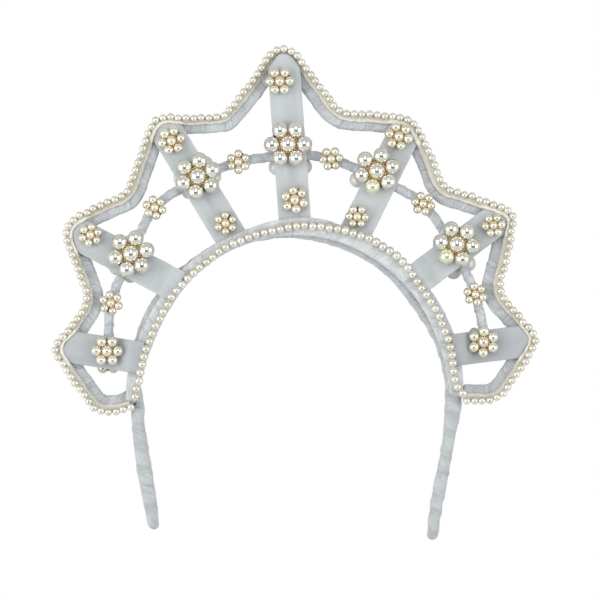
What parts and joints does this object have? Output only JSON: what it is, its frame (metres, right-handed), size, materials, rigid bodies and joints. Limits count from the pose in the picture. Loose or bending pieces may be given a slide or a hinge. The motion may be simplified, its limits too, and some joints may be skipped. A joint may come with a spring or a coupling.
{
  "type": "kokoshnik headdress",
  "caption": "Open crown headdress: a ribbon wrapped wire frame with a peaked rim, satin bars, pearl flowers and pearl edging on a hair band with two straight legs.",
  "frame": {"origin": "middle of the bottom of the part's box, on the surface that it lies on", "axes": "the headdress lies on its back: +X across the head, +Y up the crown from the legs to the tallest peak, +Z out of the front, where the pearls are"},
  "size_m": [0.2368, 0.2432, 0.0231],
  "materials": {
    "satin": "satin ribbon, cool white",
    "wrap": "satin ribbon wound on a slant, pale lavender grey",
    "tape": "matt woven tape, cream",
    "cream_pearl": "pearl lustre, cream",
    "white_pearl": "pearl lustre, silvery white"
  },
  "bodies": {
    "root": {"hair_band": "satin", "arch_strip": "satin", "rim_strip": "wrap", "rim_tape": "tape", "rim_pearls": "cream_pearl", "arch_pearls": "cream_pearl", "cross_wire": "wrap", "bar_1": "satin", "bar_2": "satin", "bar_3": "satin", "bar_4": "satin", "bar_5": "satin", "bar_6": "satin", "bar_7": "satin", "large_flower_2": "white_pearl", "large_flower_3": "white_pearl", "large_flower_4": "white_pearl", "large_flower_5": "white_pearl", "large_flower_6": "white_pearl", "medium_flower_1": "cream_pearl", "medium_flower_7": "cream_pearl", "tip_flower_2": "cream_pearl", "tip_flower_3": "cream_pearl", "tip_flower_4": "cream_pearl", "tip_flower_5": "cream_pearl", "tip_flower_6": "cream_pearl", "base_flower_3": "cream_pearl", "base_flower_4": "cream_pearl", "base_flower_5": "cream_pearl", "wire_flower_12": "cream_pearl", "wire_flower_23": "cream_pearl", "wire_flower_34": "cream_pearl", "wire_flower_45": "cream_pearl", "wire_flower_56": "cream_pearl", "wire_flower_67": "cream_pearl", "back_flower_1": "white_pearl", "back_flower_2": "white_pearl", "back_flower_3": "white_pearl", "back_flower_4": "white_pearl", "back_flower_5": "white_pearl", "back_flower_6": "white_pearl", "back_flower_7": "white_pearl"}
  },
  "joints": []
}
